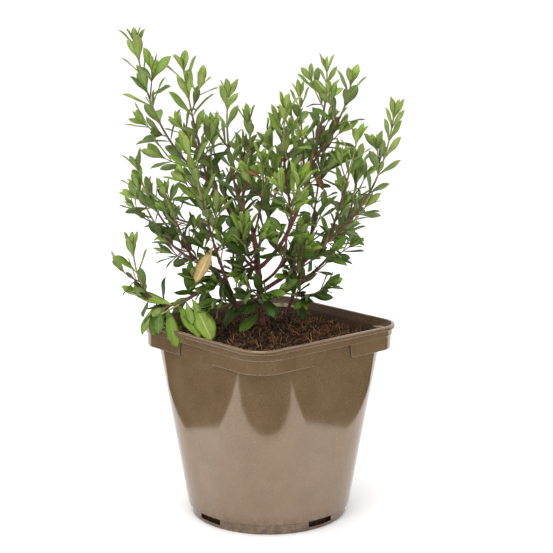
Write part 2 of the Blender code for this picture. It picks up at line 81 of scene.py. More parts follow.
# %% Helpers for colours and nodes
def colour(code):
    """An sRGB hex code as the linear colour that a socket takes."""
    parts = [int(code[start:start + 2], 16) / 255 for start in (1, 3, 5)]
    return (*[part / 12.92 if part <= 0.04045 else ((part + 0.055) / 1.055) ** 2.4 for part in parts], 1)


def add(tree, kind, sockets=None, **settings):
    """Adds a node with these properties, its sockets filled with values or with other nodes' outputs."""
    made = tree.nodes.new(kind)
    for name, value in settings.items():
        setattr(made, name, value)
    for key, value in (sockets or {}).items():
        if isinstance(value, bpy.types.NodeSocket):
            tree.links.new(value, made.inputs[key])
        else:
            made.inputs[key].default_value = value
    return made


def ramp(tree, factor, *stops):
    """A colour ramp with (place, hex code) stops, as its colour output."""
    made = add(tree, "ShaderNodeValToRGB", {"Fac": factor})
    elements = made.color_ramp.elements
    while len(elements) < len(stops):
        elements.new(0.5)
    for element, (place, code) in zip(elements, stops):
        element.position = place
        element.color = colour(code)
    return made.outputs["Color"]


def blend(tree, factor, first, second, kind="MIX"):
    """Two colours mixed. The Mix node keeps its colours at input sockets 6 and 7 and at output socket 2."""
    sockets = {0: factor, 6: first, 7: second}
    return add(tree, "ShaderNodeMix", sockets, data_type="RGBA", blend_type=kind).outputs[2]


def span(tree, value, low, high, most=1.0):
    """A value mapped to run from 0 at low to most at high, and no further."""
    sockets = {"Value": value, "From Min": low, "From Max": high, "To Max": most}
    return add(tree, "ShaderNodeMapRange", sockets).outputs["Result"]


def axis(tree, vector, letter):
    """One coordinate of a vector."""
    return add(tree, "ShaderNodeSeparateXYZ", {"Vector": vector}).outputs[letter]


def finish_of(name, roughness, ior=1.5, specular=0.5):
    """A new Principled material, its tree, its shader and its Object coordinates."""
    made = bpy.data.materials.new(name)
    made.use_nodes = True
    tree = made.node_tree
    shader = tree.nodes["Principled BSDF"]
    for key, value in {"Roughness": roughness, "IOR": ior, "Specular IOR Level": specular}.items():
        shader.inputs[key].default_value = value
    return made, tree, shader, add(tree, "ShaderNodeTexCoord").outputs["Object"]


def noise(tree, spot, grain_mm, detail=3.0, roughness=0.55):
    """Noise whose grains are about that many millimetres across."""
    sockets = {"Vector": spot, "Scale": 1 / (grain_mm * MM), "Detail": detail, "Roughness": roughness}
    return add(tree, "ShaderNodeTexNoise", sockets).outputs["Fac"]


def bump(tree, shader, height, depth_mm, strength=1.0):
    """Relief of that depth on the shader."""
    sockets = {"Height": height, "Distance": depth_mm * MM, "Strength": strength}
    tree.links.new(add(tree, "ShaderNodeBump", sockets).outputs["Normal"], shader.inputs["Normal"])


# %% [markdown]
# The pot is injection-moulded from recycled polypropylene. Regrind of many colours makes it a taupe with fine
# pale and dark specks, and the polished mould leaves it glossy, so it mirrors the table under it. Mud has
# dried round the foot. All of this is noise at real sizes, read from Object coordinates.

# %% Recycled polypropylene
PLASTIC_IOR = 1.6
MIRROR_TINT = "#ffeedd"
FLOW_GRAIN = 28
PALE_GRAIN = 0.75
DARK_GRAIN = 1.1
MUD_GRAIN = 5
MUD_TOP = 20
MUD_FULL = 3
POLISH_GRAIN = 2.5
POLISH_DEPTH = 0.012


def recycled_polypropylene(name, roughness, specular, low_code, high_code):
    """Taupe that flows slowly between two shades, with specks of regrind and dried mud low down."""
    made, tree, shader, spot = finish_of(name, roughness, PLASTIC_IOR, specular)
    shader.inputs["Specular Tint"].default_value = colour(MIRROR_TINT)
    body = ramp(tree, noise(tree, spot, FLOW_GRAIN, 2), (0.3, low_code), (0.7, high_code))
    pale = ramp(tree, noise(tree, spot, PALE_GRAIN, 2), (0.65, BLACK), (0.70, WHITE))
    dark = ramp(tree, noise(tree, spot, DARK_GRAIN, 2), (0.30, WHITE), (0.33, BLACK))
    body = blend(tree, pale, body, colour("#94826a"))
    body = blend(tree, dark, body, colour("#3f3022"))
    low = span(tree, axis(tree, spot, "Z"), MUD_TOP * MM, MUD_FULL * MM)
    patch = ramp(tree, noise(tree, spot, MUD_GRAIN, 5, 0.7), (0.4, BLACK), (0.56, WHITE))
    mud = add(tree, "ShaderNodeMath", {0: low, 1: patch}, operation="MULTIPLY").outputs[0]
    body = blend(tree, mud, body, colour("#44311f"))
    tree.links.new(body, shader.inputs["Base Color"])
    bump(tree, shader, noise(tree, spot, POLISH_GRAIN, 2), POLISH_DEPTH, 0.5)
    return made


# The outer wall is polished and mirrors the room. The inside is matt, and its darker colours are painted
# shade.
pot_finish = recycled_polypropylene("Polished polypropylene", 0.1, 1.0, "#67523b", "#725d46")
inner_painted_shade_finish = recycled_polypropylene("Dull polypropylene with painted shade", 0.6, 0.3, "#4a3626", "#523d2b")
print("finishes:", pot_finish.name, "and", inner_painted_shade_finish.name)

# %% [markdown]
# A square pot that narrows to a round foot is a stack of rounded squares, each with its own side and corner
# radius. The rule that shaped the solid draws it here with finer corners, a rounded lip and a groove under
# the bead. Each corner carries a thin skirt with slanted ends. A Boolean joins the skirts and cuts the
# drainage windows, and weighted normals keep the wide walls flat in reflections.

# %% The pot's sizes
POT_TURN = math.radians(41.4)
POT_HEIGHT = 177
RIM_SIDE = 175
RIM_CORNER = 24
LIP_DEPTH = 4
LIP_STANDS_OUT = 1.25
# The lip, from its lower edge over the top and in: drop from the rim, inset of the side, cut in the radius.
LIP_STEPS = (
    (4, 0.5, 0), (3.6, 0, 0), (2.7, 0, 0), (2.4, 0.7, 0), (2.1, 0, 0), (1, 0, 0),
    (0.3, 0.6, 0), (0, 2, 1), (0, 4, 2), (0.4, 5.4, 2), (2, 6.5, 2),
)
BAND_FOOT = 167
BODY_TOP_SIDE = 168
BODY_TOP_CORNER = 41
BODY_FOOT = 10
BODY_FOOT_SIDE = 147
BODY_FOOT_CORNER = 72
FOOT_SIDE = 141
FOOT_CORNER = 69.5
FOOT_STEP = 12
WALL = 1.8
FLOOR = 2.5
CORNER_STEPS = 16
SKIRT_FOOT = 155
SKIRT_TOP = 170
SKIRT_SIDE = 172
SKIRT_CORNER = 26
SKIRT_WALL = 1.5
SKIRT_DRAFT = 0.8
SKIRT_GAPS = (38, 46)
WINDOW_WIDTH = 27
WINDOW_HEIGHTS = (3.2, 8.6)
WINDOW_CUT = 8
EDGE_ROUND = 0.8
EDGE_STEPS = 3
SHARP_ANGLE = math.radians(32)
FACES_IN = -0.5
QUARTERS = [Matrix.Rotation(POT_TURN + quarter * math.pi / 2, 3, "Z") for quarter in range(4)]


# %% Objects, meshes and lofts
def in_scene(name, data):
    """A new object of that data, linked to the scene."""
    thing = bpy.data.objects.new(name, data)
    bpy.context.scene.collection.objects.link(thing)
    return thing


def mesh_piece(name, points, faces, *finishes):
    """A new object whose mesh is scaled from millimetres to metres."""
    mesh = bpy.data.meshes.new(name)
    mesh.from_pydata((np.asarray(points, float).reshape(-1, 3) * MM).tolist(), [], faces)
    for finish in finishes:
        mesh.materials.append(finish)
    mesh.shade_smooth()
    return in_scene(name, mesh)


def closed_piece(name, shell, *finishes):
    """A piece from a closed shell's points and faces, which are turned to point out."""
    thing = mesh_piece(name, *shell, *finishes)
    work = bmesh.new()
    work.from_mesh(thing.data)
    bmesh.ops.recalc_face_normals(work, faces=work.faces)
    work.to_mesh(thing.data)
    work.free()
    return thing


def tell(thing):
    print(thing.name + ":", len(thing.data.polygons), "faces")


def loft(rings, first=None, last=None):
    """Points and faces of a closed skin through equal rings, ended by a point or by a flat face."""
    count = len(rings[0])
    points = [tuple(point) for ring in rings for point in ring]
    faces = []
    for ring in range(len(rings) - 1):
        for step in range(count):
            here = ring * count + step
            beside = ring * count + (step + 1) % count
            faces.append((here, beside, beside + count, here + count))
    top = (len(rings) - 1) * count
    if first is None:
        faces.append(tuple(reversed(range(count))))
    else:
        points.append(tuple(first))
        faces += [((step + 1) % count, step, len(points) - 1) for step in range(count)]
    if last is None:
        faces.append(tuple(top + step for step in range(count)))
    else:
        points.append(tuple(last))
        faces += [(top + step, top + (step + 1) % count, len(points) - 1) for step in range(count)]
    return points, faces


# %% Rounded squares and the pot's walls
def square_ring(side, corner, height):
    """Points round a square with rounded corners, turned the way the pot stands."""
    ring = []
    middle = Vector((side / 2 - corner, side / 2 - corner, 0))
    for turn in QUARTERS:
        for step in range(CORNER_STEPS + 1):
            angle = step / CORNER_STEPS * math.pi / 2
            out = Vector((math.cos(angle), math.sin(angle), 0)) * corner
            ring.append(turn @ (middle + out) + UP * height)
    return ring


def wall_at(height, inset=0.0):
    """Side and corner radius of the tapering wall at a height, taken in by an inset."""
    share = (height - BODY_FOOT) / (BAND_FOOT - BODY_FOOT)
    side = BODY_FOOT_SIDE + share * (BODY_TOP_SIDE - BODY_FOOT_SIDE)
    corner = BODY_FOOT_CORNER + share * (BODY_TOP_CORNER - BODY_FOOT_CORNER)
    return side - 2 * inset, corner - inset


def pot_reach(point):
    """How far a point is from the pot's axis, measured square to its walls."""
    local = Matrix.Rotation(-POT_TURN, 3, "Z") @ point
    return max(abs(local.x), abs(local.y))


# %% Modifiers that are applied at once
def modify(thing, kind, inputs=None, **settings):
    """Adds a modifier with these settings and inputs, and applies it."""
    step = thing.modifiers.new(kind.title(), kind)
    for key, value in settings.items():
        setattr(step, key, value)
    for key, value in (inputs or {}).items():
        step[key] = value
    bpy.context.view_layer.update()
    graph = bpy.context.evaluated_depsgraph_get()
    result = bpy.data.meshes.new_from_object(thing.evaluated_get(graph))
    thing.modifiers.clear()
    thing.data = result
    return thing


def boolean(thing, operation, others):
    """One Boolean against a whole collection, whose objects are then removed."""
    bucket = bpy.data.collections.new("others")
    for other in others:
        bucket.objects.link(other)
    modify(thing, "BOOLEAN", operation=operation, operand_type="COLLECTION", collection=bucket)
    for other in others:
        bpy.data.objects.remove(other, do_unlink=True)
    bpy.data.collections.remove(bucket)


# %% The pot
def skirt_plate(turn):
    """The thin skirt round one corner, with slanted ends."""
    sections = []
    for height, gap, draft in zip((SKIRT_TOP, SKIRT_FOOT), SKIRT_GAPS, (0, SKIRT_DRAFT)):
        for inset in (draft, draft + SKIRT_WALL):
            half = SKIRT_SIDE / 2 - inset
            corner = SKIRT_CORNER - inset
            reach = half - corner
            run = [Vector((half, gap / 2, height))]
            for step in range(CORNER_STEPS + 1):
                angle = step / CORNER_STEPS * math.pi / 2
                across = reach + corner * math.cos(angle)
                along = reach + corner * math.sin(angle)
                run.append(Vector((across, along, height)))
            run.append(Vector((gap / 2, half, height)))
            sections.append([turn @ point for point in run])
    outer_top, inner_top, outer_foot, inner_foot = sections
    return loft([list(ring) for ring in zip(outer_foot, outer_top, inner_top, inner_foot)])


def window_box(turn):
    """The cutter of one drainage window."""
    corners = [
        turn @ Vector((reach, across, height))
        for reach in (FOOT_SIDE / 2 - WINDOW_CUT, FOOT_SIDE / 2 + WINDOW_CUT)
        for height in WINDOW_HEIGHTS
        for across in (-WINDOW_WIDTH / 2, WINDOW_WIDTH / 2)
    ]
    return corners, [(0, 1, 3, 2), (4, 6, 7, 5), (0, 4, 5, 1), (2, 3, 7, 6), (0, 2, 6, 4), (1, 5, 7, 3)]


def pot_profile():
    """Rows of height, side and corner radius, up the outside of the pot and down its inside."""
    band_side = RIM_SIDE - 2 * LIP_STANDS_OUT
    band_corner = RIM_CORNER + 1
    below_lip = POT_HEIGHT - LIP_DEPTH - 0.3
    lip = [(POT_HEIGHT - drop, RIM_SIDE - inset, RIM_CORNER - tighter) for drop, inset, tighter in LIP_STEPS]
    return [
        (0, FOOT_SIDE - 2, FOOT_CORNER - 1),
        (1, FOOT_SIDE - 0.6, FOOT_CORNER - 0.3),
        (BODY_FOOT - 1.2, FOOT_SIDE, FOOT_CORNER),
        (BODY_FOOT - 0.6, BODY_FOOT_SIDE - 1.2, BODY_FOOT_CORNER - 0.6),
        (BODY_FOOT, BODY_FOOT_SIDE, BODY_FOOT_CORNER),
        (BAND_FOOT, BODY_TOP_SIDE, BODY_TOP_CORNER),
        (BAND_FOOT + 0.3, band_side - 0.6, band_corner),
        (BAND_FOOT + 0.8, band_side, band_corner),
        (below_lip, band_side, band_corner),
        *lip,
        (BAND_FOOT + WALL + 2, band_side - 6.5, RIM_CORNER + 3),
        (BAND_FOOT + WALL, *wall_at(BAND_FOOT + WALL, WALL)),
        (FOOT_STEP, *wall_at(FOOT_STEP, WALL)),
        (FOOT_STEP - 1.5, FOOT_SIDE - 2 * WALL, FOOT_CORNER - WALL),
        (FLOOR, FOOT_SIDE - 2 * WALL - 2, FOOT_CORNER - WALL - 1),
    ]


def make_pot():
    rings = [square_ring(side, corner, height) for height, side, corner in pot_profile()]
    pot = closed_piece("nursery_pot", loft(rings, (0, 0, 0), (0, 0, FLOOR)), pot_finish)
    plates = [closed_piece("skirt", skirt_plate(turn), pot_finish) for turn in QUARTERS]
    for plate in plates:
        modify(plate, "BEVEL", width=EDGE_ROUND * MM, segments=EDGE_STEPS, limit_method="ANGLE")
    boolean(pot, "UNION", plates)
    boolean(pot, "DIFFERENCE", [closed_piece("window", window_box(turn), pot_finish) for turn in QUARTERS])
    # Faces that look inwards take the matt finish, whose darker colours are painted shade.
    pot.data.materials.append(inner_painted_shade_finish)
    for face in pot.data.polygons:
        out = Vector((face.center.x, face.center.y, 0)).normalized()
        face.material_index = int(face.normal.dot(out) < FACES_IN)
    pot.data.shade_smooth()
    pot.data.set_sharp_from_angle(angle=SHARP_ANGLE)
    return modify(pot, "WEIGHTED_NORMAL", keep_sharp=True)


pot = make_pot()
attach(pot, "root")
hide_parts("pot")
tell(pot)

# %% [markdown]
# Potting mix is milled peat: nearly black crumbs, red-brown fibres and a few green threads of moss. The mound
# itself is a lumpy loft. Geometry Nodes scatter the small things over it. How many, how large and in which
# material are named inputs of the tree, and it ends with its instances realized.

# %% The mound
MIX_EDGE = 161
MOUND_RISE = 10
MOUND_MIDDLE = Vector((0, 18, 0))
MOUND_REACH = 62
MIX_LUMP = 0.9
MIX_RINGS = 46
FINE_LUMP = 1.1
MIX_GAP = 0.3


def mix_height(x, y):
    """Height of the potting mix over a point: a broad mound with small lumps."""
    away = (Vector((x, y, 0)) - MOUND_MIDDLE).length / MOUND_REACH
    lump = math.sin(x * 0.21 + 1.3) * math.sin(y * 0.17 + 0.4) + 0.6 * math.sin(x * 0.37 - y * 0.29)
    return MIX_EDGE + MOUND_RISE / (1 + away ** 4) + MIX_LUMP * lump


def crumbly_height(x, y):
    """The mound's height with the crumbs that lie in its surface."""
    fine = math.sin(x * 1.3 + 2 * math.sin(y * 0.7)) * math.sin(y * 1.1 + 2 * math.sin(x * 0.8))
    return mix_height(x, y) + FINE_LUMP * fine


def make_mound(finish):
    low = [
        (FLOOR + MIX_GAP, FOOT_SIDE - 2 * WALL - 3, FOOT_CORNER - WALL - 1.5),
        (FOOT_STEP - 1, FOOT_SIDE - 2 * WALL - 2 * MIX_GAP - 0.5, FOOT_CORNER - WALL - MIX_GAP - 0.5),
        (FOOT_STEP + 1, *wall_at(FOOT_STEP, WALL + MIX_GAP)),
    ]
    rings = [square_ring(side, corner, height) for height, side, corner in low]
    rim = square_ring(*wall_at(MIX_EDGE, WALL + MIX_GAP), 0)
    for ring in range(MIX_RINGS):
        share = 1 - ring / MIX_RINGS
        rings.append([(p.x * share, p.y * share, crumbly_height(p.x * share, p.y * share)) for p in rim])
    shell = loft(rings, (0, 0, FLOOR + MIX_GAP), (0, 0, crumbly_height(0, 0)))
    return closed_piece("potting_mix_mound", shell, finish)


# %% Peat, and the finish of small things
def peat():
    """Wet milled peat: grains from nearly black to brown, which drink the light."""
    made, tree, shader, spot = finish_of("Milled peat", 0.95, specular=0.25)
    grains = noise(tree, spot, 2.2, 5, 0.7)
    body = ramp(tree, grains, (0.3, "#17100a"), (0.52, "#33251a"), (0.7, "#543c27"))
    tree.links.new(body, shader.inputs["Base Color"])
    bump(tree, shader, grains, 0.9)
    return made


def plain(name, code, roughness=0.7, specular=0.35):
    """One colour that drifts slightly from place to place, so that no two small things look alike."""
    made, tree, shader, spot = finish_of(name, roughness, specular=specular)
    drift = ramp(tree, noise(tree, spot, 4, 2), (0.3, "#b4b4b4"), (0.7, WHITE))
    tree.links.new(blend(tree, 1.0, colour(code), drift, "MULTIPLY"), shader.inputs["Base Color"])
    return made


mound = make_mound(peat())
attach(mound, "root")
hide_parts("potting_mix")
tell(mound)


# %% Helpers for Geometry Nodes
def new_tree(name, **inputs):
    """A Geometry Nodes tree with named inputs, and each input's identifier by its name."""
    tree = bpy.data.node_groups.new(name, "GeometryNodeTree")
    for way in ("INPUT", "OUTPUT"):
        tree.interface.new_socket("Geometry", in_out=way, socket_type="NodeSocketGeometry")
    keys = {}
    for label, kind in inputs.items():
        socket = tree.interface.new_socket(label, in_out="INPUT", socket_type="NodeSocket" + kind)
        keys[label] = socket.identifier
    return tree, keys


def end_tree(tree, geometry, finish):
    """Ends a tree: its instances become plain mesh, in the given material."""
    real = add(tree, "GeometryNodeRealizeInstances", {"Geometry": geometry}).outputs[0]
    dressed = add(tree, "GeometryNodeSetMaterial", {"Geometry": real, "Material": finish}).outputs[0]
    add(tree, "NodeGroupOutput", {0: dressed})


def run_tree(thing, tree, keys, **values):
    """Runs a tree on an object with these named inputs, and keeps the mesh that it makes."""
    modify(thing, "NODES", {keys[label]: value for label, value in values.items()}, node_group=tree)
    thing.data.shade_smooth()


# %% The scattering tree
MOUND_EDGE_DROP = 4


def scatter_tree(shape):
    """Scatters one shape over a surface, each copy turned and scaled at random."""
    sizes = {"Smallest": "Float", "Largest": "Float"}
    tree, keys = new_tree("Scatter", Density="Float", **sizes, Seed="Int", Finish="Material")
    given = add(tree, "NodeGroupInput").outputs
    sockets = {"Mesh": given["Geometry"], "Density": given["Density"], "Seed": given["Seed"]}
    spots = add(tree, "GeometryNodeDistributePointsOnFaces", sockets).outputs["Points"]
    sockets = {"Min": (0, 0, 0), "Max": (math.pi, math.pi, 2 * math.pi), "Seed": given["Seed"]}
    turn = add(tree, "FunctionNodeRandomValue", sockets, data_type="FLOAT_VECTOR").outputs[0]
    # The node's sockets for plain numbers follow those for vectors: limits at 2 and 3, output at 1.
    sockets = {2: given["Smallest"], 3: given["Largest"]}
    size = add(tree, "FunctionNodeRandomValue", sockets, data_type="FLOAT").outputs[1]
    copied = add(tree, "GeometryNodeObjectInfo", {"Object": shape}).outputs["Geometry"]
    sockets = {"Points": spots, "Instance": copied, "Rotation": turn, "Scale": size}
    end_tree(tree, add(tree, "GeometryNodeInstanceOnPoints", sockets).outputs[0], given["Finish"])
    return tree, keys


def mound_top(name, margin):
    """The mound's top faces alone, up to a margin from the wall."""
    thing = in_scene(name, mound.data.copy())
    half = (wall_at(MIX_EDGE, WALL + margin)[0] / 2) * MM
    work = bmesh.new()
    work.from_mesh(thing.data)
    outside = []
    for face in work.faces:
        middle = face.calc_center_median()
        if middle.z < (MIX_EDGE - MOUND_EDGE_DROP) * MM or pot_reach(middle) > half:
            outside.append(face)
    bmesh.ops.delete(work, geom=outside, context="FACES")
    work.to_mesh(thing.data)
    work.free()
    return thing


def scatter(name, shape, finish, density, smallest, largest, seed, margin):
    """A plain mesh of copies of the shape, scattered over the mound."""
    carrier = mound_top(name, margin)
    values = {"Density": density, "Smallest": smallest, "Largest": largest, "Seed": seed, "Finish": finish}
    run_tree(carrier, *scatter_tree(shape), **values)
    bpy.data.objects.remove(shape, do_unlink=True)
    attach(carrier, "root")
    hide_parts("potting_mix")
    tell(carrier)


# %% Crumbs, fibres and moss
FIBRE_LENGTH = 10
FIBRE_CORNERS = (0, 2.1, 4.2)


def crumb_shape():
    """An uneven crumb one millimetre across."""
    work = bmesh.new()
    bmesh.ops.create_icosphere(work, subdivisions=1, radius=0.5 * MM)
    draw = random.Random(SEED)
    for vert in work.verts:
        vert.co *= draw.uniform(0.7, 1.25)
    mesh = bpy.data.meshes.new("crumb")
    work.to_mesh(mesh)
    work.free()
    return in_scene("crumb", mesh)


def fibre_shape(name, bends, radius):
    """A bent three-sided fibre, thickest in the middle."""
    rings = []
    for step in range(bends + 1):
        share = step / bends
        along = FIBRE_LENGTH * share - FIBRE_LENGTH / 2
        middle = Vector((along, 0.8 * math.sin(share * 5), 0.5 * math.sin(share * 3 + 1)))
        thick = radius * (1 - 0.6 * abs(2 * share - 1))
        rings.append([middle + Vector((0, math.cos(a) * thick, math.sin(a) * thick)) for a in FIBRE_CORNERS])
    return closed_piece(name, loft(rings))


# After the finish: copies to a square metre, smallest and largest scale, seed, and margin from the wall.
# Dark crumbs give the mix its grain, red-brown bark and sedge warm it, straw and moss are its pale flecks.
crumb_finish = plain("Peat crumb", "#2a1d13", 0.95, 0.2)
chip_finish = plain("Bark chip", "#57371f", 0.9, 0.2)
scatter("peat_crumbs", crumb_shape(), crumb_finish, 300000, 0.9, 4.2, 3, 2)
scatter("bark_chips", crumb_shape(), chip_finish, 60000, 1.5, 6.0, 4, 3)
for name, bends, radius, finish_name, code, *numbers in (
    ("sedge_fibres", 6, 0.2, "Sedge fibre", "#7a5230", 30000, 0.4, 1.7, 5, 9),
    ("straw_threads", 5, 0.24, "Straw", "#b08a55", 17000, 0.3, 1.9, 7, 8),
    ("moss_threads", 4, 0.3, "Moss", "#6c782c", 80000, 0.2, 0.6, 9, 5),
):
    scatter(name, fibre_shape(name + " shape", bends, radius), plain(finish_name, code, 0.8), *numbers)

# %% [markdown]
# The woody part of a sage is a short trunk and a fan of thin boughs. Each is a tapering bow through three
# points. A real stem is never a clean tube: it has fine lengthwise ridges and a swelling at each old leaf
# joint, and it flares where it leaves the soil. So each limb is drawn as many-sided rings whose radius
# follows these rules, and all the limbs are one mesh.

# %% Limbs and masses
# Name, what it grows from, how far along that (or its place on the mix), middle point, tip, and two radii.
LIMBS = (
    ("trunk", "mix", (-7, 8), (-8.5, 8, 212), (-14, 6, 259), 3.6, 2.0),
    ("bough_centre", "trunk", 1.0, (-21, 3, 276), (-28, 0, 292), 1.9, 1.5),
    ("bough_dark", "trunk", 0.60, (20, 12, 262), (40, 17, 327), 1.9, 1.3),
    ("bough_right", "trunk", 0.36, (27, 9, 226), (60, 4, 257), 2.0, 1.4),
    ("stem_back_right", "mix", (15, 45), (26, 44, 203), (37, 42, 237), 1.7, 1.2),
    ("bough_arch", "trunk", 0.44, (10, -12, 230), (15.5, -22, 255), 1.4, 1.1),
    ("stem_front_left", "mix", (-20, 4), (-35, -4, 208), (-48, -14, 249), 1.8, 1.3),
    ("bough_left", "trunk", 0.50, (-42, 3, 222), (-74, -8, 239), 1.5, 1.1),
    ("bough_tall_left", "trunk", 0.86, (-40, 12, 285), (-58, 17, 305), 1.5, 1.2),
    ("bough_low_left", "trunk", 0.70, (-54, -10, 210), (-88, -25, 196), 1.1, 0.9),
    ("bough_back", "trunk", 0.76, (0, 40, 266), (8, 60, 292), 1.5, 1.1),
    ("bough_back_left", "trunk", 0.56, (-34, 38, 240), (-58, 55, 268), 1.5, 1.1),
    ("bough_back_right", "trunk", 0.28, (26, 26, 205), (62, 40, 236), 1.6, 1.1),
)
# Name without "leaves_", the limb that its stem meets, how far along that, middle point, tip, the length of a
# full leaf, the number of side twigs, and how far its leaves sag.
MASSES = (
    ("top_left", "bough_tall_left", 1.0, (-97, 26, 352), (-118, 30, 422), 24, 2, 0.0),
    ("left_spire", "bough_tall_left", 0.93, (-66, 5, 356), (-74, 0, 401), 23, 2, 0.0),
    ("front_left", "stem_front_left", 1.0, (-57, -26, 288), (-67, -40, 330), 25, 1, 0.0),
    ("left_tip", "bough_left", 1.0, (-96, -14, 262), (-113, -22, 299), 19, 1, 0.0),
    ("left_inner", "bough_left", 0.90, (-80, -24, 270), (-89, -36, 296), 19, 1, 0.0),
    ("left_back", "bough_left", 0.78, (-98, 10, 272), (-117, 16, 312), 19, 1, 0.0),
    ("low_left", "bough_low_left", 1.0, (-109, -32, 213), (-118, -36, 249), 20, 1, 0.0),
    ("rim", "bough_low_left", 0.62, (-76, -29, 200), (-94, -38, 192), 33, 0, 0.62),
    ("centre_left", "bough_centre", 1.0, (-36, 12, 338), (-36, 22, 376), 21, 1, 0.0),
    ("centre", "bough_centre", 0.80, (-17, 6, 322), (-18, 2, 355), 20, 2, 0.0),
    ("front_centre", "trunk", 0.95, (-6, -12, 290), (-5, -22, 322), 20, 1, 0.0),
    ("arch", "bough_arch", 1.0, (20, -34, 280), (25, -44, 304), 23, 1, 0.0),
    ("spire_front", "bough_dark", 0.45, (14, -6, 325), (15, -10, 366), 21, 2, 0.0),
    ("spire_back", "bough_dark", 0.74, (30, 28, 342), (28, 37, 374), 21, 1, 0.0),
    ("top_right", "bough_dark", 1.0, (50, 23, 368), (52, 28, 399), 20, 1, 0.0),
    ("right_spire", "bough_dark", 0.90, (62, 6, 358), (72, 0, 389), 21, 1, 0.0),
    ("right_tip", "bough_right", 1.0, (93, 8, 298), (111, 12, 359), 22, 1, 0.0),
    ("right_inner", "bough_right", 0.90, (68, -6, 300), (77, -12, 340), 20, 1, 0.0),
    ("stem_back_right", "stem_back_right", 1.0, (43, 40, 280), (50, 36, 330), 22, 2, 0.0),
    ("inner_left", "bough_tall_left", 0.55, (-46, 34, 308), (-52, 44, 342), 20, 1, 0.0),
    ("back", "bough_back", 1.0, (12, 74, 320), (10, 84, 348), 21, 2, 0.0),
    ("back_low", "bough_back", 0.85, (-6, 86, 290), (-16, 106, 312), 20, 1, 0.0),
    ("back_left", "bough_back_left", 1.0, (-70, 68, 298), (-74, 76, 330), 21, 2, 0.0),
    ("back_left_low", "bough_back_left", 0.85, (-84, 52, 262), (-108, 62, 282), 20, 1, 0.0),
    ("back_right", "bough_back_right", 1.0, (76, 52, 272), (82, 60, 312), 21, 2, 0.0),
    ("back_right_low", "bough_back_right", 0.85, (70, 72, 244), (84, 92, 266), 20, 1, 0.0),
    ("foot", "trunk", 0.26, (-6, -12, 202), (-3, -26, 208), 22, 2, 0.2),
    ("inner_front", "trunk", 0.64, (-18, -16, 240), (-22, -30, 262), 21, 3, 0.1),
    ("inner_right", "bough_right", 0.40, (24, -12, 234), (28, -22, 258), 21, 2, 0.1),
    ("inner_back", "bough_left", 0.34, (-32, 18, 242), (-34, 26, 268), 20, 2, 0.1),
    ("low_right", "stem_back_right", 0.36, (38, 25, 196), (48, 16, 203), 20, 1, 0.15),
    ("low_front", "stem_front_left", 0.30, (-38, -16, 200), (-44, -24, 202), 21, 0, 0.2),
)


# %% A tapering bow
class Bow:
    """A tapering stem: points along a smooth bow through its middle, with a radius at each."""

    def __init__(self, foot, middle, tip, radii, steps):
        foot = Vector(foot)
        tip = Vector(tip)
        pull = 2 * Vector(middle) - (foot + tip) / 2
        self.points = []
        self.radii = []
        for step in range(steps + 1):
            share = step / steps
            bend = 2 * share * (1 - share)
            self.points.append(foot * (1 - share) ** 2 + pull * bend + tip * share ** 2)
            self.radii.append(radii[0] + (radii[1] - radii[0]) * share)

    def length(self):
        return sum((b - a).length for a, b in zip(self.points, self.points[1:]))

    def at(self, share):
        """The point, direction and radius at a share of the length."""
        left = share * self.length()
        last = len(self.points) - 2
        for step, (a, b) in enumerate(zip(self.points, self.points[1:])):
            run = (b - a).length
            if left <= run or step == last:
                part = min(left / run, 1)
                radius = self.radii[step] + (self.radii[step + 1] - self.radii[step]) * part
                return a.lerp(b, part), (b - a).normalized(), radius
            left -= run

    def part(self, first, last):
        """The stretch between two shares, as points and radii."""
        count = len(self.points) - 1
        low = int(first * count)
        high = max(int(last * count), low + 1)
        return self.points[low:high + 1], self.radii[low:high + 1]


def rings_along(points, radii, sides, relief):
    """Rings of points round a line, their radius changed by a rule of ring and angle."""
    across = (points[1] - points[0]).orthogonal().normalized()
    rings = []
    for step, point in enumerate(points):
        ahead = (points[min(step + 1, len(points) - 1)] - points[max(step - 1, 0)]).normalized()
        across = (across - ahead * across.dot(ahead)).normalized()
        beside = ahead.cross(across)
        ring = []
        for side in range(sides):
            angle = side / sides * 2 * math.pi
            radius = radii[step] * relief(step, angle)
            ring.append(point + (across * math.cos(angle) + beside * math.sin(angle)) * radius)
        rings.append(ring)
    return rings


# %% The woody limbs
RING_STEP = 1.3
FEWEST_RINGS = 8
BARK_SIDES = 16
JOINT_SPACING = 15
JOINT_SWELL = 0.22
WIDE_RIDGE = 0.06
FINE_RIDGE = 0.045
FLARE = 0.45
FLARE_HEIGHT = 9
IN_MIX = 1.5
YOUNG_FROM = 215
YOUNG_TO = 340


def woody_bark():
    """Dark red-brown bark in lengthwise streaks, paler on the young wood high up."""
    made, tree, shader, spot = finish_of("Woody sage bark", 0.75, specular=0.35)
    streak = add(tree, "ShaderNodeMapping", {"Vector": spot, "Scale": (1, 1, 0.25)}).outputs["Vector"]
    grains = noise(tree, streak, 0.9, 4, 0.65)
    body = ramp(tree, grains, (0.3, "#42231f"), (0.5, "#6b4038"), (0.7, "#94705c"))
    young = span(tree, axis(tree, spot, "Z"), YOUNG_FROM * MM, YOUNG_TO * MM, 0.75)
    tree.links.new(blend(tree, young, body, colour("#94735a")), shader.inputs["Base Color"])
    bump(tree, shader, grains, 0.25)
    return made


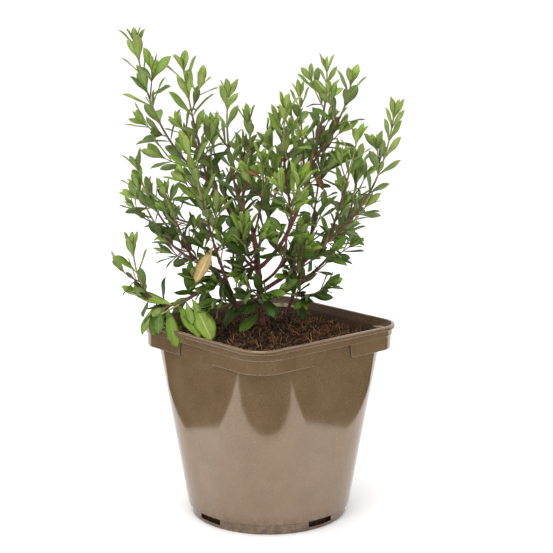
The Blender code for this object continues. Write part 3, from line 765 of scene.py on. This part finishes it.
def bark_relief(seed, flare_rings):
    """Radius shares of a barked limb: ridges that wander, swollen joints, and a flare at the foot."""
    draw = random.Random(seed)
    phases = [draw.uniform(0, 2 * math.pi) for _ in range(4)]
    every = JOINT_SPACING / RING_STEP * draw.uniform(0.85, 1.15)

    def relief(step, angle):
        ridge = WIDE_RIDGE * math.sin(3 * angle + phases[0] + step * 0.05) * math.sin(step * 0.13 + phases[1])
        ridge += FINE_RIDGE * math.sin(7 * angle + phases[2] + step * 0.21)
        joint = JOINT_SWELL * math.exp(-((step % every) - every / 2) ** 2 / 1.6)
        knot = joint * (1 + 0.6 * math.cos(2 * angle + phases[3]))
        flare = FLARE * max(0, 1 - step / flare_rings) ** 2 if flare_rings else 0
        return 1 + ridge + knot + flare

    return relief


limbs = {}
limb_points = []
limb_faces = []
for name, parent, along, middle, tip, thick, thin in LIMBS:
    from_mix = parent == "mix"
    foot = Vector((*along, mix_height(*along) - IN_MIX)) if from_mix else limbs[parent].at(along)[0]
    steps = max(int((Vector(tip) - foot).length / RING_STEP), FEWEST_RINGS)
    limb = Bow(foot, middle, tip, (thick, thin), steps)
    limbs[name] = limb
    relief = bark_relief(f"{SEED} {name}", FLARE_HEIGHT / RING_STEP if from_mix else 0)
    points, faces = loft(rings_along(limb.points, limb.radii, BARK_SIDES, relief))
    limb_faces += [tuple(index + len(limb_points) for index in face) for face in faces]
    limb_points += points
wood = closed_piece("woody_limbs", (limb_points, limb_faces), woody_bark())
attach(wood, "root")
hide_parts(*[row[0] for row in LIMBS])
tell(wood)

# %% [markdown]
# A sage leaf is a thin blade on a short stalk, widest past its middle, slightly folded along the midrib. A
# flat card would look like paper, so each leaf is a closed thin shell with a crease, a bend and its own
# outline. Six shapes are drawn once, and many turned and scaled copies of them are written into arrays.

# %% The leaf shapes
LEAF_ROWS = 7
LEAF_THICK = 0.012
STALK = 0.13
STALK_WIDE = 0.03
ACROSS = (-1, -0.52, 0, 0.52, 1)
COLUMNS = len(ACROSS)


def half_width(share, wide):
    """Half the leaf's width at a share of its length, for a leaf one unit long."""
    if share < STALK:
        return STALK_WIDE
    blade = (share - STALK) / (1 - STALK)
    return max(wide * math.sin(math.pi * blade ** 1.25) ** 0.72, STALK_WIDE * (1 - blade))


def run_across(row, is_lower):
    """The indexes across a row of the upper or the lower skin, which share the row's two edge points."""
    start = 1 + row * (2 * COLUMNS - 2)
    upper = list(range(start, start + COLUMNS))
    inner = range(start + COLUMNS, start + 2 * COLUMNS - 2)
    return [upper[0], *inner, upper[-1]] if is_lower else upper


def leaf_shape(wide, fold, bend, twist):
    """Points, faces, uvs and sides of a unit leaf: a creased upper and a lower skin, closed at the edge."""
    blade_rows = [(row / (LEAF_ROWS + 1)) ** 0.92 for row in range(1, LEAF_ROWS + 1)]
    shares = [STALK * 0.9] + [STALK + (1 - STALK) * row for row in blade_rows]

    def spot(share, side, drop):
        width = half_width(share, wide) * side
        turn = twist * share
        lift = abs(width) * fold - bend * share ** 2 + 0.02 * math.sin(share * 9) * abs(side) - drop
        return (share, width * math.cos(turn), lift + width * math.sin(turn))

    points = [(0, 0, 0)]
    uvs = [(0.5, 0)]
    for share in shares:
        for sides, drop in ((ACROSS, 0), (ACROSS[1:-1], LEAF_THICK)):
            for side in sides:
                points.append(spot(share, side, drop))
                uvs.append((0.5 + side / 2, share))
    points.append(spot(1, 0, LEAF_THICK / 2))
    uvs.append((0.5, 1))
    faces = []
    lower = []
    last = len(points) - 1
    for is_lower in (False, True):
        runs = [run_across(row, is_lower) for row in range(len(shares))]
        for step in range(COLUMNS - 1):
            strip = [(0, runs[0][step + 1], runs[0][step])]
            for near, far in zip(runs, runs[1:]):
                strip.append((near[step], near[step + 1], far[step + 1], far[step]))
            strip.append((runs[-1][step], runs[-1][step + 1], last))
            faces += [face if is_lower else tuple(reversed(face)) for face in strip]
            lower += [is_lower] * len(strip)
    return np.array(points), faces, np.array(uvs), lower


# Half width, fold along the midrib, bend down and twist. The last form is broad and is only placed one by
# one.
LEAF_FORMS = (
    (0.152, 0.3, 0.05, 0.1),
    (0.168, 0.2, 0.16, -0.15),
    (0.14, 0.4, -0.06, 0.0),
    (0.16, 0.25, 0.22, 0.3),
    (0.148, 0.15, 0.0, -0.3),
    (0.19, 0.25, 0.14, 0.25),
)
LEAF_SHAPES = [leaf_shape(*form) for form in LEAF_FORMS]
GROWN_SHAPES = len(LEAF_FORMS) - 1
print("leaf shape:", len(LEAF_SHAPES[0][1]), "faces")

# %% [markdown]
# Leaves are not one green. Old ones low in the shrub are deep and dull, those near the tips are a bright
# yellow green, and all are greyer below. The groups carry painted light and shade as well: sprays in the
# light take brighter tints and those in the heart of the shrub darker ones. So the leaves are dealt into
# groups by their place. Each group has its own pair of finishes, upper and lower, and a paler midrib follows
# the leaf's own
# UV map.

# %% Leaf finishes
RIB_EDGE = 0.05
RIB_FULL = 0.015
VEINS = 5.0
VEIN_DEPTH = 0.12
UPPER_ROUGHNESS = 0.42
LOWER_ROUGHNESS = 0.6


def leaf_finish(name, code, rib_code, roughness):
    """A leaf's skin: a soft waxy sheen over green, a paler midrib, and veins that catch the light."""
    made, tree, shader, spot = finish_of(name, roughness, ior=1.42, specular=0.4)
    drift = ramp(tree, noise(tree, spot, 11, 2), (0.3, "#c4c4c4"), (0.7, WHITE))
    body = blend(tree, 1.0, colour(code), drift, "MULTIPLY")
    uv = add(tree, "ShaderNodeTexCoord").outputs["UV"]
    away = add(tree, "ShaderNodeMath", {0: axis(tree, uv, "X"), 1: 0.5}, operation="SUBTRACT").outputs[0]
    away = add(tree, "ShaderNodeMath", {0: away}, operation="ABSOLUTE").outputs[0]
    rib = span(tree, away, RIB_EDGE, RIB_FULL)
    tree.links.new(blend(tree, rib, body, colour(rib_code)), shader.inputs["Base Color"])
    sockets = {"Vector": uv, "Scale": VEINS, "Distortion": 1.5, "Detail": 1.0}
    vein = add(tree, "ShaderNodeTexWave", sockets, bands_direction="Y").outputs["Fac"]
    bump(tree, shader, vein, VEIN_DEPTH, 0.5)
    return made


# Name: upper colour, its rib, lower colour, its rib.
TINTS = {
    "deep": ("#425b1b", "#4a5e22", "#65763c", "#6c7d46"),
    "mature": ("#5d7a25", "#667c32", "#7c8e4e", "#86965c"),
    "fresh": ("#789631", "#80983c", "#8b9e54", "#96a860"),
    "tip": ("#92af41", "#9ab24a", "#9aae56", "#a4b662"),
    "pale": ("#8ca53c", "#9cb250", "#9aab58", "#a6b564"),
    "spent": ("#c6a96e", "#d3bd8c", "#c0a473", "#d3bd8c"),
    "rust": ("#8a5a2c", "#a37442", "#94693c", "#a37442"),
}
leaf_groups = {name: [] for name in TINTS}


def place_leaf(tint, root, ahead, up, length, shape):
    """Notes one leaf: its group, root, directions along and up, length and shape."""
    side = up.cross(ahead).normalized()
    up = ahead.cross(side)
    turn = np.array([ahead, side, up])
    leaf_groups[tint].append((np.array(root), turn, length, shape))


# %% [markdown]
# Each leafy stem grows by the rule that grew its solid: pairs of leaves, each pair crosswise to the last,
# wide apart low down and crowded at the tip. Here the rule goes further. Some leaves have a smaller one in
# their axil, the tip ends in a tuft of young leaves, and there are more and finer side twigs.

# %% Sizes of the growing rule
STEM_RADII = (1.15, 0.75)
TWIG_RADII = (0.75, 0.5)
STEM_SPACING = (22, 11)
TWIG_SPACING = (14, 9)
LEAF_STRETCH = 1.16
FIRST_PAIR = 4
TWIG_REACH = (12, 26)
TWIG_LIFT = 4
TWIG_STEPS = 8
TWIG_TURN = 2.4
TWIG_BRIGHTER = 0.3
SPACE_REACH = 31
BOX_MARGIN = 2.5
RIM_MARGIN = 3
WALL_STRIP = 8
OUTSIDE_CLEAR = 4
WALL_CLEAR = 2
LEAF_CLEAR = 1.5
TWIG_CLEAR = 5
LOW_PITCH = math.radians(58)
HIGH_PITCH = math.radians(24)
TWIG_PITCH = math.radians(40)
FINER_TWIGS = 1
TUFT_PAIRS = 3
AXIL_SHARE = 0.4
SHORTENED = (1, 0.85, 0.7)
ROLL = 0.35
TUFT_SHARE = 1.05
TINT_RISE = 0.9
TINT_SPREAD = 0.16
TINT_LIMITS = ((0.42, "deep"), (0.86, "mature"), (1.12, "fresh"), (1.42, "tip"))

purple_stems = []
green_stems = []


# %% Where a leaf may stand
def distance_to(bow, point):
    """How far a point is from a bow's nearest point."""
    return min((spot - point).length for spot in bow.points)


def clear_of_pot(point, margin=LEAF_CLEAR):
    """Whether a point is above the mix, or above the rim where it is over the wall or outside the pot."""
    reach = pot_reach(point)
    if reach >= RIM_SIDE / 2 + RIM_MARGIN:
        return point.z > POT_HEIGHT + OUTSIDE_CLEAR
    near_wall = reach > RIM_SIDE / 2 - WALL_STRIP
    return point.z > (POT_HEIGHT + WALL_CLEAR if near_wall else mix_height(point.x, point.y) + margin)


def in_box(point):
    """Whether a point is in the solids' box, with a small margin."""
    low, high = cad_box
    return all(low[i] / MM - BOX_MARGIN < point[i] < high[i] / MM + BOX_MARGIN for i in range(3))


def grow_leaf(owner, spot, heading, outwards, pitch, length, sag, tint, draw):
    """One leaf, shortened or left out where its tip would leave the owner's space or meet the pot."""
    ahead = heading * math.cos(pitch) + outwards * math.sin(pitch)
    ahead = (ahead * (1 - sag) - UP * sag).normalized()
    for share in SHORTENED:
        tip = spot + ahead * length * share
        if distance_to(owner, tip) < SPACE_REACH and clear_of_pot(tip) and in_box(tip):
            break
    else:
        return
    up = (heading - ahead * heading.dot(ahead)).normalized()
    up = Matrix.Rotation(draw.uniform(-ROLL, ROLL), 3, ahead) @ up
    place_leaf(tint, spot, ahead, up, length * share, draw.randrange(GROWN_SHAPES))


def tint_at(share, youth_and_painted_light, draw):
    """A leaf's group, from how far up its shoot it is and from its spray's young growth and painted light."""
    value = share * TINT_RISE + youth_and_painted_light + draw.uniform(-TINT_SPREAD, TINT_SPREAD)
    return next((tint for limit, tint in TINT_LIMITS if value < limit), "pale")


# %% Shoots and twigs
def sideways(heading, turn):
    """A direction square to a stem, turned round it."""
    return Matrix.Rotation(turn, 3, heading) @ heading.orthogonal().normalized()


def grow_shoot(owner, shoot, full_leaf, spacing, youth_and_painted_light, sag, draw, first=FIRST_PAIR):
    """Pairs of leaves up a shoot, small leaves in their axils, and a tuft at the tip."""
    full_leaf *= LEAF_STRETCH
    length = shoot.length()
    turn = draw.uniform(0, math.pi)
    reach = first
    while reach < length:
        share = reach / length
        spot, heading, radius = shoot.at(share)
        pitch = LOW_PITCH + (HIGH_PITCH - LOW_PITCH) * share ** 0.8
        size = full_leaf * (0.95 + 0.15 * math.sin(math.pi * share)) * draw.uniform(0.86, 1.1)
        tint = tint_at(share, youth_and_painted_light, draw)
        for outwards in (sideways(heading, turn), sideways(heading, turn + math.pi)):
            lean = pitch * draw.uniform(0.8, 1.2)
            foot = spot + outwards * radius * 0.5
            grow_leaf(owner, foot, heading, outwards, lean, size, sag, tint, draw)
            if draw.random() < AXIL_SHARE:
                beside = Matrix.Rotation(draw.uniform(-0.9, 0.9), 3, heading) @ outwards
                little = size * draw.uniform(0.35, 0.6)
                upright = lean * draw.uniform(0.4, 0.8)
                grow_leaf(owner, foot, heading, beside, upright, little, sag, tint, draw)
        turn += math.pi / 2 + draw.uniform(-0.2, 0.2)
        reach += (spacing[0] + (spacing[1] - spacing[0]) * share) * draw.uniform(0.88, 1.12)
    spot, heading, _ = shoot.at(1.0)
    for pair in range(TUFT_PAIRS):
        size = full_leaf * (0.95 - 0.2 * pair) * draw.uniform(0.88, 1.05)
        for outwards in (sideways(heading, turn), sideways(heading, turn + math.pi)):
            lean = HIGH_PITCH * (0.95 - 0.3 * pair) * draw.uniform(0.8, 1.2)
            tint = tint_at(TUFT_SHARE, youth_and_painted_light, draw)
            grow_leaf(owner, spot - heading * (2 - pair), heading, outwards, lean, size, sag, tint, draw)
        turn += math.pi / 2


def grow_twigs(owner, shoot, count, zone, full_leaf, youth_and_painted_light, sag, draw):
    """Side twigs along a stretch of a shoot, each with its own small leaves."""
    for index in range(count):
        share = zone[0] + (zone[1] - zone[0]) * (index + draw.uniform(0.2, 0.8)) / count
        spot, heading, _ = shoot.at(share)
        outwards = sideways(heading, index * TWIG_TURN + draw.uniform(-0.5, 0.5))
        ahead = heading * math.cos(TWIG_PITCH) + outwards * math.sin(TWIG_PITCH)
        tip = spot + ahead * draw.uniform(*TWIG_REACH) + UP * TWIG_LIFT
        if distance_to(owner, tip) > SPACE_REACH or not clear_of_pot(tip, TWIG_CLEAR):
            continue
        twig = Bow(spot, (spot + tip) / 2 - UP * 1.5, tip, TWIG_RADII, TWIG_STEPS)
        lines = purple_stems if draw.random() < 0.5 else green_stems
        lines.append((twig.points, twig.radii))
        leaf = full_leaf * draw.uniform(0.8, 1.0)
        grow_shoot(owner, twig, leaf, TWIG_SPACING, youth_and_painted_light + share * TWIG_BRIGHTER, sag, draw)


# %% [markdown]
# How bright a spray is depends on where it stands. Partly this is growth, as the outer and upper stems end
# in young leaves, and partly painted light and shade: sprays high up and in the light get brighter tints,
# and the heart of the shrub darker ones. One number for each mass says it, from its tip's height and a
# small table.

# %% Grow the masses
# Sprays whose tips stand higher get brighter tints: partly young growth and partly painted light.
BRIGHT_TOP = 400
BRIGHT_LOW = 190
BRIGHT_RISE = 0.7
BRIGHT_START = -0.25
# Painted light and shade: masses in the light get brighter tints, and the foot under the crown a darker one.
PAINTED_LIGHT_AND_SHADE = {
    "arch": 0.35,
    "front_left": 0.2,
    "right_tip": 0.2,
    "centre_left": 0.15,
    "spire_front": 0.15,
    "low_left": 0.3,
    "foot": -0.2,
}
STEM_STEPS = 24
PURPLE_TO = 0.62
GREEN_FROM = 0.58
STEM_ZONE = (0.04, 0.72)
TWIG_SHADE = 0.6
stems = {}
for name, parent, along, middle, tip, full_leaf, twig_count, sag in MASSES:
    draw = random.Random(f"{SEED} leaves_{name}")
    stem = Bow(limbs[parent].at(along)[0], middle, tip, STEM_RADII, STEM_STEPS)
    stems[name] = stem
    purple_stems.append(stem.part(0, PURPLE_TO))
    green_stems.append(stem.part(GREEN_FROM, 1))
    youth_and_painted_light = BRIGHT_RISE * (tip[2] - BRIGHT_LOW) / (BRIGHT_TOP - BRIGHT_LOW) + BRIGHT_START
    youth_and_painted_light += PAINTED_LIGHT_AND_SHADE.get(name, 0) + draw.uniform(-0.08, 0.08)
    # The mass over the rim has only the leaves that are listed further down.
    if name != "rim":
        grow_shoot(stem, stem, full_leaf, STEM_SPACING, youth_and_painted_light, sag, draw)
        youth_and_painted_light *= TWIG_SHADE
        grow_twigs(stem, stem, twig_count + FINER_TWIGS, STEM_ZONE, full_leaf, youth_and_painted_light, sag, draw)

# %% Leaves on the boughs themselves
BOUGH_LEAF = 21
BOUGH_ZONE = (0.22, 1.0)
BOUGH_TWIG_SPACING = 24
# The leaves on the boughs sit in the heart of the shrub, and their darker tints are painted shade.
BOUGH_PAINTED_SHADE = -0.2
BOUGH_SAG = 0.1
RIM_BOUGH = limbs["bough_low_left"]
RIM_SPACING = (15, 9)
RIM_FIRST_PAIR = 34
RIM_SAG = 0.15
draw = random.Random(f"{SEED} rim bough")
grow_shoot(RIM_BOUGH, RIM_BOUGH, BOUGH_LEAF, RIM_SPACING, 0.0, RIM_SAG, draw, RIM_FIRST_PAIR)
for name, limb in limbs.items():
    if name != "trunk":
        draw = random.Random(f"{SEED} leaves on {name}")
        count = max(int(limb.length() / BOUGH_TWIG_SPACING), 1)
        grow_twigs(limb, limb, count, BOUGH_ZONE, BOUGH_LEAF, BOUGH_PAINTED_SHADE, BOUGH_SAG, draw)
print("leaves:", {name: len(group) for name, group in leaf_groups.items()})

# %% [markdown]
# A few leaves are listed one by one: the broad old ones that hang over the rim on the left, one dead leaf
# that has dried to tan, and some small rusty ones. Each is one row: where it grows, where it ends, its tint
# and its shape. Its root is moved to the nearest stem, so that no leaf hangs in the air.

# %% The leaves that stand alone
LONE_LEAVES = (
    ((-66, -28, 206), (-48, -52, 173), "pale", 5),
    ((-82, -26, 202), (-59, -52, 178), "fresh", 1),
    ((-92, -24, 196), (-80, -49, 166), "fresh", 1),
    ((-100, -24, 198), (-104, -34, 171), "mature", 3),
    ((-62, -6, 242), (-70, -12, 205), "mature", 5),
    ((-58, -10, 214), (-50, -26, 190), "mature", 1),
    ((-103, -22, 192), (-118, -20, 170), "fresh", 1),
    ((-83, -38, 205), (-116, -32, 212), "pale", 1),
    ((-96, -30, 198), (-96, -50, 176), "mature", 0),
    ((-72, -26, 200), (-66, -44, 186), "fresh", 3),
    ((-48, -15, 250), (-65, -34, 221), "spent", 5),
    ((49, 20, 311), (52, 14, 296), "rust", 3),
    ((-24, -8, 262), (-32, -14, 258), "rust", 0),
    ((-16, -12, 312), (-24, -16, 318), "rust", 0),
    ((-14, 2, 186), (-40, -12, 186), "deep", 0),
    ((-10, 0, 184), (-26, -18, 174), "mature", 1),
    ((-6, 0, 186), (8, -14, 184), "deep", 0),
)
stem_points = [point for bow in (*limbs.values(), *stems.values()) for point in bow.points]
for place, tip, tint, shape in LONE_LEAVES:
    root = min(stem_points, key=lambda point: (point - Vector(place)).length)
    run = Vector(tip) - root
    ahead = run.normalized()
    up = (UP - ahead * UP.dot(ahead) - Vector((0, 0.5, 0))).normalized()
    place_leaf(tint, root, ahead, up, run.length, shape)


# %% Write the leaf pieces
def leaf_piece(name, group, finishes):
    """One mesh of many leaves, upper skins in the first finish and lower skins in the second."""
    points = []
    faces = []
    uvs = []
    lower = []
    start = 0
    for root, turn, length, shape in group:
        local, own_faces, own_uvs, own_lower = LEAF_SHAPES[shape]
        points.append(root + (local * length) @ turn)
        for face in own_faces:
            faces.append(tuple(index + start for index in face))
            uvs.append(own_uvs[list(face)])
        lower += own_lower
        start += len(local)
    thing = mesh_piece(name, np.concatenate(points), faces, *finishes)
    thing.data.polygons.foreach_set("material_index", np.array(lower, np.int32))
    layer = thing.data.uv_layers.new(name="UVMap")
    layer.data.foreach_set("uv", np.concatenate(uvs).astype(np.float32).reshape(-1))
    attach(thing, "root")
    return thing


mass_names = ["leaves_" + row[0] for row in MASSES]
for tint, group in leaf_groups.items():
    upper, rib, under, under_rib = TINTS[tint]
    finishes = (
        leaf_finish("Sage leaf " + tint, upper, rib, UPPER_ROUGHNESS),
        leaf_finish("Sage leaf underside " + tint, under, under_rib, LOWER_ROUGHNESS),
    )
    thing = leaf_piece(f"leaves_{tint}_1", group, finishes)
    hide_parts(*mass_names)
    tell(thing)

# %% [markdown]
# Young stems are smooth and thin. Geometry Nodes turn each line into a tube. An attribute of the line says
# how thick it is, and the number of sides is an input. Older lengths are purple-red, and new growth is green.

# %% The stems
STEM_SIDES = 7


def stem_tree():
    """Geometry Nodes that skin lines as tubes."""
    tree, keys = new_tree("Skin stems", Sides="Int", Finish="Material")
    given = add(tree, "NodeGroupInput").outputs
    curve = add(tree, "GeometryNodeMeshToCurve", {"Mesh": given["Geometry"]}).outputs[0]
    named = add(tree, "GeometryNodeInputNamedAttribute", {"Name": "thick"}, data_type="FLOAT")
    ring = add(tree, "GeometryNodeCurvePrimitiveCircle", {"Resolution": given["Sides"], "Radius": 1.0})
    sockets = {"Curve": curve, "Profile Curve": ring.outputs[0], "Scale": named.outputs["Attribute"]}
    sockets["Fill Caps"] = True
    end_tree(tree, add(tree, "GeometryNodeCurveToMesh", sockets).outputs[0], given["Finish"])
    return tree, keys


def stem_piece(name, lines, finish):
    """One mesh of all the stems of a colour."""
    points = [tuple(point * MM) for line, _ in lines for point in line]
    edges = []
    start = 0
    for line, _ in lines:
        edges += [(start + step, start + step + 1) for step in range(len(line) - 1)]
        start += len(line)
    mesh = bpy.data.meshes.new(name)
    mesh.from_pydata(points, edges, [])
    thick = mesh.attributes.new("thick", "FLOAT", "POINT")
    thick.data.foreach_set("value", [radius * MM for _, radii in lines for radius in radii])
    thing = in_scene(name, mesh)
    run_tree(thing, *stem_tree(), Sides=STEM_SIDES, Finish=finish)
    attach(thing, "root")
    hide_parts(*mass_names)
    tell(thing)


# Purple bark draws the dark lines inside the crown, and the green shoots glow where light reaches them.
stem_piece("purple_stems", purple_stems, plain("Purple young bark", "#7d4a49", 0.5))
stem_piece("green_stems", green_stems, plain("Green shoot", "#a89a66", 0.5))

# %% [markdown]
# The shrub stands on a plain pale floor in a bright room. A wide soft light hangs overhead, and the sky all
# round is white. Dark cards lie on the floor round a pale patch, as round a white table top, and only mirror
# reflections see them. The glossy pot shows the pale patch in its lower half and the cards in its upper half.

# %% Floor and cards
FLOOR_HALF = 9000
FAR = 6000
TABLE_HALF = 285
TABLE_FRONT = -216
CARD_BACK = 260
CARD_HEIGHT = 0.6


def flat_finish(name, code, specular):
    """One even matt colour, so that a surface shows light and shade and nothing of its own."""
    made, _, shader, _ = finish_of(name, 0.9, specular=specular)
    shader.inputs["Base Color"].default_value = colour(code)
    return made


def flat_sheet(name, left, front, right, back, height, finish):
    """A level rectangle with one finish."""
    corners = [(left, front, height), (right, front, height), (right, back, height), (left, back, height)]
    thing = mesh_piece(name, corners, [(0, 1, 2, 3)], finish)
    return thing


pale_table = flat_finish("Pale table", "#fdfdfd", 0.2)
black_card = flat_finish("Black card", "#0d0b09", 0.0)
flat_sheet("floor", -FLOOR_HALF, -FLOOR_HALF, FLOOR_HALF, FLOOR_HALF, 0, pale_table)
for name, *edges in (
    ("card_front", -FAR, -FAR, FAR, TABLE_FRONT),
    ("card_left", -FAR, TABLE_FRONT, -TABLE_HALF, CARD_BACK),
    ("card_right", TABLE_HALF, TABLE_FRONT, FAR, CARD_BACK),
):
    card = flat_sheet(name, *edges, CARD_HEIGHT, black_card)
    for ray in ("camera", "diffuse", "shadow", "transmission"):
        setattr(card, "visible_" + ray, False)

# %% Light and camera
WORLD_STRENGTH = 1.1
LAMP_PLACE = Vector((-0.3, -0.5, 1.9))
LAMP_TARGET = Vector((0, 0, 0.2))
LAMP_SIZE = 2.0
LAMP_POWER = 26
CAMERA_PLACE = Vector((0.0071, -1.3244, 0.4798))
CAMERA_TARGET = Vector((0.0071, 0, 0.218))
CAMERA_LENS = 97.8
SENSOR_WIDTH = 36


def aimed(name, data, place, target):
    """A lamp or a camera that stands at a place and looks at a target."""
    thing = in_scene(name, data)
    thing.location = place
    thing.rotation_euler = (target - place).to_track_quat("-Z", "Y").to_euler()
    return thing


scene = bpy.context.scene
scene.view_settings.view_transform = "Standard"
scene.world = bpy.data.worlds.new("White room")
scene.world.use_nodes = True
sky = scene.world.node_tree.nodes["Background"]
sky.inputs["Color"].default_value = colour(WHITE)
sky.inputs["Strength"].default_value = WORLD_STRENGTH
lamp = bpy.data.lights.new("overhead", "AREA")
lamp.size = LAMP_SIZE
lamp.energy = LAMP_POWER
aimed("overhead", lamp, LAMP_PLACE, LAMP_TARGET)
lens = bpy.data.cameras.new("camera")
lens.lens = CAMERA_LENS
lens.sensor_width = SENSOR_WIDTH
scene.camera = aimed("camera", lens, CAMERA_PLACE, CAMERA_TARGET)
